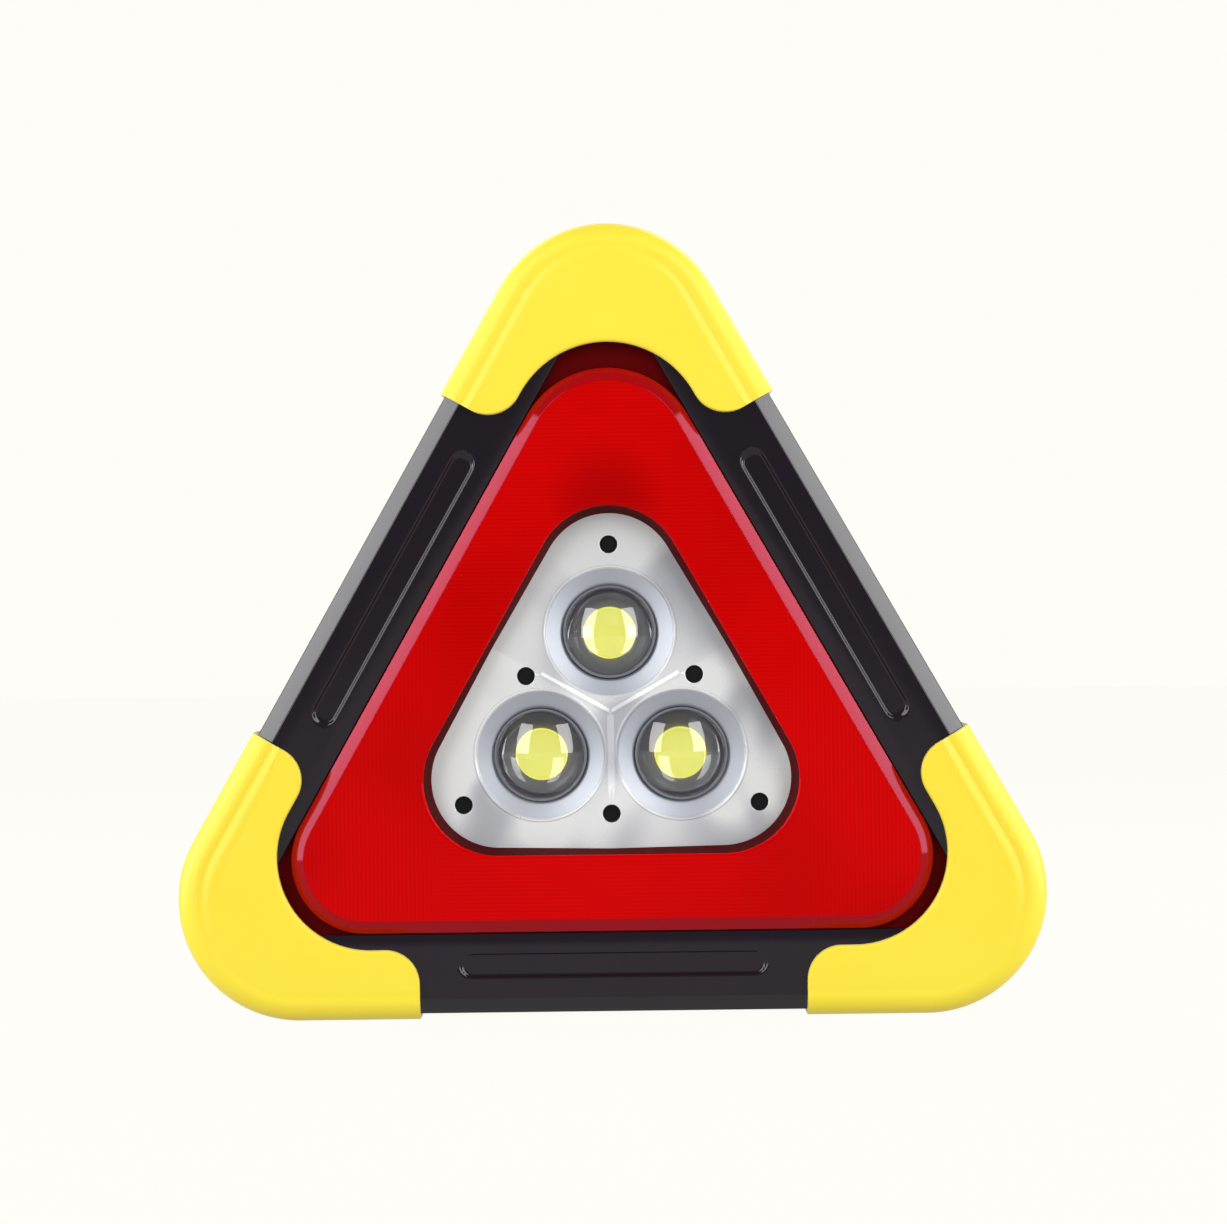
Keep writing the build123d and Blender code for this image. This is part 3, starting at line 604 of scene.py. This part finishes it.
def guard_paths(name):
    """A guard's outer path, its outward normals, its inner path, and how far round the arc each point is.

    Both paths run from one arm's end, round the corner, to the other arm's end, and have as many
    points. The inner one starts down the end's cut, turns by the toe's radius to the arm's inner edge,
    and follows the hollow's arc. The last result goes from 0 where the arc starts to 1 where it ends.
    """
    arc_points, arm_points, toe_steps = 61, 40, 24
    start, end = ARC[name]
    corner = CORNERS[name]
    angle = np.linspace(start, end, arc_points)
    arc_normal = np.stack([np.cos(angle), np.sin(angle)], axis=-1)
    away_in = np.array([math.sin(start), -math.cos(start)])
    away_out = np.array([-math.sin(end), math.cos(end)])
    reach_in, reach_out = ((SIDE_LENGTH[side] - BAR_BETWEEN_GUARDS) / 2 for side in ARMS[name])
    shares = np.linspace(0, 1, arm_points + 1)[1:, None]

    def on_arm(normal, away, along, inset):
        """Points of an arm: along it from the corner's arc centre, and inset from the outer edge."""
        return corner + normal * (CORNER_RADIUS - inset) + away * along

    arm_in = on_arm(arc_normal[0], away_in, reach_in * shares[::-1], 0)
    arm_out = on_arm(arc_normal[-1], away_out, reach_out * shares, 0)
    outer = np.concatenate([arm_in, corner + CORNER_RADIUS * arc_normal, arm_out])
    normals = np.concatenate([
        np.repeat(arc_normal[:1], len(arm_in), 0), arc_normal, np.repeat(arc_normal[-1:], len(arm_out), 0),
    ])
    turn = np.concatenate([np.zeros(arm_points), np.linspace(0, 1, arc_points), np.ones(arm_points)])
    radius = GUARD_HOLLOW[name]
    reach = (INRADIUS + CORNER_RADIUS - GUARD_WIDTH - radius) / INRADIUS
    arc = CENTRE + (corner - CENTRE) * reach + radius * arc_normal
    toes = []
    for normal, away, reach, hollow_end in (
        (arc_normal[0], away_in, reach_in, arc[0]), (arc_normal[-1], away_out, reach_out, arc[-1]),
    ):
        cut_end = on_arm(normal, away, reach, GUARD_WIDTH - GUARD_TOE)
        toe = on_arm(normal, away, reach, GUARD_WIDTH)
        toes.append(rounded_path([cut_end, toe, hollow_end], [GUARD_TOE - 0.01], steps=toe_steps)[1:-1])
    inner = np.concatenate([toes[0], arc, toes[1][::-1]])
    inner_length, outer_length = lengths(inner), lengths(outer)
    # The toe takes up the first 0.45 of each arm, and the arcs match from end to end
    toe_share, count = 0.45, len(toes[0])
    first, last = outer_length[[arm_points, len(outer) - 1 - arm_points]]
    inner_shares = np.interp(
        outer_length,
        [0, first * toe_share, first, last, 1 - (1 - last) * toe_share, 1],
        [0, inner_length[count - 1], inner_length[count], inner_length[-count - 1], inner_length[-count], 1],
    )
    inner = np.stack([np.interp(inner_shares, inner_length, inner[:, i]) for i in (0, 1)], axis=-1)
    return outer, normals, inner, turn


def lengths(path):
    """How far along a path each of its points is, as a share of its length."""
    length = np.concatenate([[0], np.cumsum(np.hypot(*np.diff(path, axis=0).T))])
    return length / length[-1]


def make_guard(name):
    """A guard: its C-shaped section carried round the corner.

    Near the outer edge, a section point lies on the outer path less inset times its normal. Further
    in, it moves evenly over to the inner path, so that the face ends in the hollow. Along the upright
    arms a low bead stands beside a shallow crease, each a bell curve of the inset, and both fade out
    round the corner.
    """
    outer, normals, inner, turn = guard_paths(name)
    near, shoulder, face_start, face_rows = 9.5, 6.0, 13.5, 36
    bead_height, bead_inset, bead_width = 0.33, 10.2, 1.3
    crease_depth, crease_inset, crease_width = 0.42, 7.4, 1.0
    least_strength, fade_turn = 0.12, 0.5
    top = GUARD_DEPTH - 0.36
    front = rounded_path(
        [(GUARD_WIDTH, FACE_DEPTH + 0.02), (GUARD_WIDTH, top), (face_start, top)], [0.9], steps=6,
    )
    face = np.stack(
        [np.linspace(face_start - 0.3, shoulder + 0.1, face_rows), np.full(face_rows, top)], axis=-1,
    )
    angle = np.linspace(math.pi / 2, math.pi, 17)
    edge = np.stack([shoulder * (1 + np.cos(angle)), top - shoulder * (1 - np.sin(angle))], axis=-1)
    back = rounded_path(
        [(0, 0), (0, GUARD_BACK), (GUARD_WIDTH, GUARD_BACK), (GUARD_WIDTH, BACK_DEPTH)], [1.4, 0.6], steps=5,
    )
    skin = [
        (CASING_INSET + BACK_CHAMFER, BACK_DEPTH), (CASING_INSET, BACK_DEPTH + BACK_CHAMFER),
        (CASING_INSET, FACE_DEPTH - CHAMFER), (CASING_INSET + CHAMFER, FACE_DEPTH),
    ]
    section = np.concatenate([front, face, edge, back, skin])
    inset = section[:, 0][:, None]
    share = np.maximum(0.0, (inset - near) / (GUARD_WIDTH - near))[..., None]
    base = outer - normals * np.minimum(inset, near)[..., None]
    plan = base + (inner - base) * share
    fades = [
        (1 - smooth_step(away / fade_turn)) * (side != "bottom")
        for side, away in zip(ARMS[name], (turn, 1 - turn))
    ]
    strength = least_strength + (1 - least_strength) * np.maximum(*fades)
    bead = bead_height * np.exp(-((inset - bead_inset) / bead_width) ** 2)
    crease = crease_depth * np.exp(-((inset - crease_inset) / crease_width) ** 2)
    on_front = (section[:, 1] > GUARD_DEPTH - 2.0)[:, None] & (inset > 3.0)
    depth = section[:, 1][:, None] + (bead - crease) * strength * on_front
    rows, columns = depth.shape
    faces = [tuple(f) for f in grid_faces(rows, columns, True, False)]
    faces.append(tuple(range(0, rows * columns, columns)))
    faces.append(tuple(range(columns - 1, rows * columns, columns))[::-1])
    guard = make_piece(
        f"guard_{name}", lift(plan, depth), faces, [yellow_rubber], [f"corner_guard_{name}"],
        sharp=50, merge=0.002,
    )
    soften_edges(guard, 0.5, 55.0)


def soften_edges(piece, width, angle, segments=3):
    """Rounds the edges sharper than an angle over by that many mm."""
    bevel = piece.modifiers.new("rounded edges", "BEVEL")
    bevel.width = width * MM
    bevel.segments = segments
    bevel.limit_method = "ANGLE"
    bevel.angle_limit = math.radians(angle)
    bevel.harden_normals = True


# ---------------------------------------------------------------- warning lens

def make_lens():
    """The red lens: its section carried round the triangle, and its inner wall cut along the facets.

    A wall point is its place on the opening's rim plus drop * slope times the way inwards there, and
    the drop is where that line meets the facets, found by putting it back into the formula.
    """
    edge_radius, lip_radius, face_rows, rounds = 0.5, 0.6, 16, 12
    gap_to_plate, gap_to_bevel = 0.05, 0.4
    flange_front = FACE_DEPTH - WALL
    flange_back = flange_front - LENS_WALL
    bevel_end = LENS_INSET + BEVEL_WIDTH
    edge = rounded_path(
        [(LENS_INSET, flange_front), (LENS_INSET, FACE_DEPTH), (bevel_end, LENS_DEPTH),
         (bevel_end + 4, LENS_DEPTH)],
        [edge_radius, edge_radius], steps=4,
    )[:-1]
    face = np.stack(
        [np.linspace(bevel_end + 1, WELL_INSET - lip_radius - 0.1, face_rows), np.full(face_rows, LENS_DEPTH)],
        axis=-1,
    )
    lip = rounded_path(
        [(WELL_INSET - lip_radius, LENS_DEPTH), (WELL_INSET, LENS_DEPTH),
         (WELL_INSET + 2 * WELL_SLOPE, LENS_DEPTH - 2)],
        [lip_radius], steps=4,
    )[1:-1]
    plan = [ring(FLANGE_INSET, FLANGE_RADIUS)] * 2
    depth = [flange_back, flange_front]
    for inset, level in np.concatenate([edge, face, lip]):
        share = smooth_step((inset - bevel_end) / (WELL_INSET - bevel_end))
        shrink = min(inset - LENS_INSET, BEVEL_WIDTH)
        radii = [r - shrink + (WELL_RADIUS - r + shrink) * share for r in (LENS_BASE, LENS_TOP)]
        plan.append(ring(inset, *radii))
        depth.append(level)
    depth = [np.full(len(plan[0]), level) for level in depth]
    for thickness, shares in ((0.0, (0.2, 0.4, 0.6, 0.8, 1.0)), (LENS_WALL, (1.0, 0.5, 0.0))):
        rim = ring(WELL_INSET - thickness, WELL_RADIUS + thickness)
        inwards = ring(WELL_INSET - thickness + 1, WELL_RADIUS + thickness - 1) - rim
        drop = np.zeros(len(rim))
        for _ in range(rounds):
            foot = rim + inwards * (drop * WELL_SLOPE)[:, None]
            drop = LENS_DEPTH - gap_to_plate - facet_height(foot)
        for share in shares:
            level = drop * share if thickness == 0 else LENS_WALL + (drop - LENS_WALL) * share
            plan.append(rim + inwards * (level * WELL_SLOPE)[:, None])
            depth.append(LENS_DEPTH - level)
    cavity = ring(LENS_INSET + LENS_WALL + gap_to_bevel, LENS_BASE - LENS_WALL, LENS_TOP - LENS_WALL)
    plan += [cavity, cavity]
    depth += [np.full(len(cavity), LENS_DEPTH - LENS_WALL), np.full(len(cavity), flange_back)]
    plan, depth = np.array(plan), np.array(depth)
    # From row to row: the flange, the bevel, the face and its lip, the wall, and the underside
    on_face, on_bevel, on_wall, on_flange = range(4)
    spans = [(on_flange, 2), (on_bevel, len(edge) - 1), (on_face, len(face) + len(lip)), (on_wall, 5),
             (on_flange, len(plan))]
    finish_rows = np.concatenate([np.full(count, finish) for finish, count in spans])[:len(plan)]
    # The bevel, the wall and the flange take darker copies of the red: painted shade
    make_piece(
        "red_lens", lift(plan, depth), grid_faces(*plan.shape[:2], True, True),
        [red_acrylic, red_bevel_painted_shade, red_wall_painted_shade, red_flange_painted_shade], ["warning_lens"],
        sharp=40, finishes=np.repeat(finish_rows, plan.shape[1]),
    )


# ---------------------------------------------------------------- reflector plate

def circle(radius, steps):
    """A circle of points about the origin, as an (n, 2) array."""
    angle = np.arange(steps) * 2 * math.pi / steps
    return radius * np.stack([np.cos(angle), np.sin(angle)], axis=-1)


def plate_sheet(loops):
    """The plate's facets as points and triangles, from its outline and its holes' rims.

    The triangles fill the outline but for the holes, with edges along the creases between the facets
    and along the ridges' feet. Each point stands at the depth of the facets and the ridges there.
    """
    points = [Vector(p) for loop in loops for p in loop.tolist()] + [Vector(CENTRE)]
    # Each crease leaves out the middle screw's well, and two lines beside it are its ridge's feet
    foot, past_well, past_edge = RIDGE_HALF_WIDTH, 34.5, 60.0
    crease = [(0, RIDGE_END), (0, past_well), (0, past_edge)]
    feet = [(-foot, 0), (-foot, RIDGE_END), (foot, 0), (foot, RIDGE_END)]
    for way in SIDE_WAYS:
        across = np.array([-way[1], way[0]])
        points += [Vector(CENTRE + across * off + way * along) for off, along in crease + feet]
    edges, start = [], 0
    for loop in loops:
        index = start + np.arange(len(loop))
        edges += list(zip(index.tolist(), np.roll(index, -1).tolist()))
        start += len(loop)
    for first in range(start + 1, len(points), 7):
        pairs = [(1, 2), (3, 4), (4, 0), (0, 6), (6, 5)]
        edges += [(start, first)] + [(first + a, first + b) for a, b in pairs]
    flat, _, triangles, *_ = delaunay_2d_cdt(points, edges, [], 0, 1e-5)
    flat, triangles = np.array([tuple(p) for p in flat]), np.array(triangles)
    middles = flat[triangles].mean(axis=1)
    keep = inside_ring(middles, loops[0])
    for hole in loops[1:]:
        keep &= ~inside_ring(middles, hole)
    used, triangles = np.unique(triangles[keep], return_inverse=True)
    flat = flat[used]
    return lift(flat, facet_height(flat) + ridge_height(flat)), triangles.reshape(-1, 3)


def make_plate():
    """The silver plate: three flat facets, with a dish round each lamp and a well round each screw.

    A dish is a profile turned round its lamp's axis. A well is circles that sink straight back from
    the facets. Both are welded to the facets at their rims, and the sheet is then given its thickness.
    """
    rim_radius, dish_steps, well_radius, screw_radius, well_steps = 20.7, 96, 3.0, 2.75, 32
    hole_radius, hole_back = 14.5, -3.4
    dish = rounded_path(
        [(rim_radius, 0), (20.45, 0.2), (20.0, 0.2), (19.5, -0.35), (15.2, -1.5), (hole_radius, -1.8),
         (hole_radius, hole_back)],
        [0.1, 0.3, 0.5, 0.4, 0.2], steps=5,
    )
    floor_row = np.argmax(dish[:, 1] < -0.3)
    well = rounded_path([(well_radius, 0), (screw_radius, 0), (screw_radius, hole_back)], [0.2], steps=3)
    side_shares = np.linspace(0, 1, 14)[1:-1]
    loops, surfaces = [ring(PLATE_INSET, PLATE_RADIUS, side_shares=side_shares, arc_steps=24)], []
    for name in CORNERS:
        turned = turned_points(facet_frame(name, LAMP_ORBIT), dish, dish_steps)
        loops.append(turned[0][:, [0, 2]] / MM)
        surfaces.append((turned, floor_row))
    for place in np.array(PLATE_SCREWS):
        rim = [place + circle(radius, well_steps) for radius, _ in well]
        sink = [lift(loop, facet_height(loop) + height) for loop, (_, height) in zip(rim, well)]
        loops.append(rim[0])
        surfaces.append((np.array(sink), len(well)))
    # The finishes: 0 for the facets, which stay flat, 1 for rims and wells, and 2 for the dishes' floors
    sheet, triangles = plate_sheet(loops)
    points, faces = [sheet], [tuple(f) for f in triangles]
    finishes, start = [0] * len(faces), len(sheet)
    for surface, floor_row in surfaces:
        rows, columns = surface.shape[:2]
        points.append(surface.reshape(-1, 3))
        faces += [tuple(f) for f in grid_faces(rows, columns, False, True) + start]
        finishes += np.where(np.repeat(np.arange(rows - 1), columns) < floor_row, 1, 2).tolist()
        start += rows * columns
    plate = make_piece(
        "silver_plate", np.concatenate(points), faces, [silver, silver, satin_silver], ["reflector_plate"],
        sharp=30, merge=0.004, finishes=finishes, flat=(0,),
    )
    face_front(plate.data)
    thick = plate.modifiers.new("sheet thickness", "SOLIDIFY")
    thick.thickness = PLATE_THICKNESS * MM
    thick.offset = -1.0


def face_front(mesh):
    """Turns a sheet's faces over if most of them look backwards."""
    work = bmesh.new()
    work.from_mesh(mesh)
    if sum(f.normal.y * f.calc_area() for f in work.faces) > 0:
        bmesh.ops.reverse_faces(work, faces=work.faces)
    work.to_mesh(mesh)
    work.free()


def inside_ring(points, loop):
    """Which points lie inside a closed loop: those with an odd number of crossings to their right."""
    a, b = loop, np.roll(loop, -1, axis=0)
    z, x = points[:, 1][:, None], points[:, 0][:, None]
    spans = (a[:, 1] > z) != (b[:, 1] > z)
    gap = np.where(np.abs(b[:, 1] - a[:, 1]) < 1e-12, 1e-12, b[:, 1] - a[:, 1])
    cross = a[:, 0] + (z - a[:, 1]) / gap * (b[:, 0] - a[:, 0])
    return (np.sum(spans & (cross > x), axis=1) % 2) == 1


# ---------------------------------------------------------------- lamps

def make_lamp(name):
    """One lamp, two profiles turned round its axis: a grey holder with a dished cup, and a clear dome.

    The dome's outside is part of a sphere of radius (r r + h h) / (2 h), for its rim radius r and its
    height h over the rim.
    """
    steps = 96
    plane = facet_frame(name, LAMP_ORBIT)
    outside, seat_wall, seat, rim_top, lip_top = 14.3, 13.4, -1.8, -0.6, -0.2
    window, bore, back = 6.6, 11.7, -7.0
    holder = np.concatenate([
        [(outside, back)],
        rounded_path(
            [(outside, rim_top), (outside, lip_top), (13.75, lip_top), (seat_wall, rim_top), (seat_wall, seat)],
            [0.25, 0.2, 0.1], steps=3,
        ),
        rounded_path([(13.0, seat), (9.4, -3.1), (window + 0.1, -5.2)], [12.0], steps=8),
        [(window, -5.5), (bore, -5.5), (bore, back)],
    ])
    make_piece(
        f"holder_{name}", turned_points(plane, holder, steps), grid_faces(len(holder), steps, True, True),
        [grey_holder], [f"lamp_holder_{name}"], sharp=30,
    )
    dome_radius, rim_radius, top = 13.0, 13.3, 3.6
    bulge = (dome_radius**2 + (top - rim_top) ** 2) / (2 * (top - rim_top))
    angle = np.linspace(math.asin(dome_radius / bulge), 0.006, 28)
    dome = np.stack([bulge * np.sin(angle), top - bulge + bulge * np.cos(angle)], axis=-1)
    rim = rounded_path(
        [(0.05, seat), (rim_radius, seat), (rim_radius, rim_top), (dome_radius, rim_top)],
        [0.1, 0.1], steps=2,
    )
    section = np.concatenate([rim[:-1], dome])
    rows = len(section)
    faces = [tuple(f) for f in grid_faces(rows, steps, False, True)]
    faces += [tuple(range(steps)), tuple(range((rows - 1) * steps, rows * steps))]
    make_piece(
        f"dome_{name}", turned_points(plane, section, steps), faces, [clear_lens], [f"lamp_lens_{name}"],
        sharp=30,
    )


# ---------------------------------------------------------------- the whole lamp

make_front_frame()
for corner_name in CORNERS:
    make_guard(corner_name)
    make_lamp(corner_name)
make_lens()
make_plate()
softened("rear_shell", "rear_housing", grained_abs)
softened("door_panel", "battery_door", grained_abs)
softened("stand_frame", "stand", grained_abs, width=0.7)
softened("button_cap", "switch_button", silicone, width=0.3)

kept_nodes = {
    phosphor_painted_glow: ["lamp_emitter_top", "lamp_emitter_left", "lamp_emitter_right"],
    aluminium: ["heat_spreader"],
    circuit_board: ["warning_board", "driver_board"],
    red_epoxy: ["warning_leds"],
    black_steel: ["plate_screws", "housing_screws"],
    steel: ["stand_pins", "battery_springs", "battery_contacts"],
    cell_wrap: ["battery_cell_1", "battery_cell_2", "battery_cell_3", "battery_cell_4"],
    dark_holder: ["switch_body", "switch_plunger"],
}
for material, names in kept_nodes.items():
    for name in names:
        NODES[name].data.materials.clear()
        NODES[name].data.materials.append(material)


# ---------------------------------------------------------------- studio

ROOM_COLOUR = "#FEFDF8"


def make_floor():
    """A plain pale floor under the lamp, bright enough by itself to meet the pale room behind it."""
    reach, mottle_size = 6.0, 0.3
    corners = [(-reach, -reach, 0), (reach, -reach, 0), (reach, reach, 0), (-reach, reach, 0)]
    mesh = bpy.data.meshes.new("floor")
    mesh.from_pydata(corners, [], [(0, 1, 2, 3)])
    floor = bpy.data.objects.new("floor", mesh)
    bpy.context.scene.collection.objects.link(floor)
    material = bpy.data.materials.new("matt white paint")
    material.use_nodes = True
    tree = material.node_tree
    tree.nodes.clear()
    place = add_node(tree, "ShaderNodeTexCoord").outputs["Object"]
    mottle = add_node(tree, "ShaderNodeTexNoise", None, {"Vector": place, "Scale": 1 / mottle_size})
    shade = add_node(
        tree, "ShaderNodeMix", {"data_type": "RGBA"},
        {0: mottle.outputs["Fac"], 6: linear("#FDFCF7"), 7: linear("#FBFAF5")},
    )
    paint = add_node(tree, "ShaderNodeBsdfDiffuse", None, {"Color": shade.outputs[2]})
    glow = add_node(tree, "ShaderNodeEmission", None, {"Color": linear(ROOM_COLOUR), "Strength": 1.0})
    dark = add_node(tree, "ShaderNodeEmission", None, {"Color": linear(ROOM_COLOUR), "Strength": 0.55})
    ray = add_node(tree, "ShaderNodeLightPath")
    lit = add_node(
        tree, "ShaderNodeMixShader", None,
        {0: ray.outputs["Is Camera Ray"], 1: dark.outputs[0], 2: glow.outputs[0]},
    )
    mixed = add_node(tree, "ShaderNodeMixShader", None, {0: 0.02, 1: lit.outputs[0], 2: paint.outputs[0]})
    add_node(tree, "ShaderNodeOutputMaterial", None, {"Surface": mixed.outputs[0]})
    mesh.materials.append(material)


def add_softbox(name, turn, lift_angle, distance, wide, tall, radiance):
    """A rectangular soft light facing the lamp, all angles in degrees and seen from the lamp's middle.

    It stands turn degrees right of straight ahead and lift_angle above level, and spans wide by tall.
    """
    middle = Vector((0, 0, HEIGHT / 2 * MM))
    turn, lift_angle = math.radians(turn), math.radians(lift_angle)
    way = Vector((
        math.sin(turn) * math.cos(lift_angle), -math.cos(turn) * math.cos(lift_angle), math.sin(lift_angle),
    ))
    light = bpy.data.lights.new(name, "AREA")
    light.shape = "RECTANGLE"
    light.size = 2 * distance * math.tan(math.radians(wide / 2))
    light.size_y = 2 * distance * math.tan(math.radians(tall / 2))
    light.energy = radiance * math.pi * light.size * light.size_y
    box = bpy.data.objects.new(name, light)
    bpy.context.scene.collection.objects.link(box)
    box.location = middle + way * distance
    box.rotation_euler = (-way).to_track_quat("-Z", "Y").to_euler()
    box.visible_camera = False


def make_studio():
    """A dim pale room with two tall windows in front, a strip light on each side, and two lights behind."""
    # Degrees round and up, the distance in metres, degrees wide and tall, and the radiance
    lights = {
        "window": (36, 20, 1.5, 21, 46, 4.3),
        "strip": (84, 15, 1.1, 32, 40, 4.9),
        "rear light": (145, 35, 1.6, 30, 30, 4.0),
    }
    for side in (-1, 1):
        for name, (turn, *rest) in lights.items():
            add_softbox(f"{name} {side}", side * turn, *rest)
    world = bpy.data.worlds.new("studio")
    bpy.context.scene.world = world
    world.use_nodes = True
    tree = world.node_tree
    tree.nodes.clear()
    ray = add_node(tree, "ShaderNodeLightPath")
    room = add_node(tree, "ShaderNodeBackground", None, {"Color": linear(ROOM_COLOUR), "Strength": 0.2})
    seen = add_node(tree, "ShaderNodeBackground", None, {"Color": linear(ROOM_COLOUR), "Strength": 1.0})
    mixed = add_node(
        tree, "ShaderNodeMixShader", None,
        {0: ray.outputs["Is Camera Ray"], 1: room.outputs[0], 2: seen.outputs[0]},
    )
    add_node(tree, "ShaderNodeOutputWorld", None, {"Surface": mixed.outputs[0]})
    bpy.context.scene.view_settings.view_transform = "Standard"


def make_camera():
    """A long lens straight in front of the lamp, level with its middle and rolled a little."""
    distance, frame_width, sensor, roll = 1.5, 0.3815, 36.0, math.radians(0.7)
    data = bpy.data.cameras.new("camera")
    data.sensor_width = sensor
    data.lens = sensor * distance / frame_width
    camera = bpy.data.objects.new("camera", data)
    bpy.context.scene.collection.objects.link(camera)
    camera.location = (0.0013, -distance, HEIGHT / 2 * MM + 0.0024)
    camera.rotation_euler = (math.pi / 2, roll, 0)
    bpy.context.scene.camera = camera


make_floor()
make_studio()
make_camera()
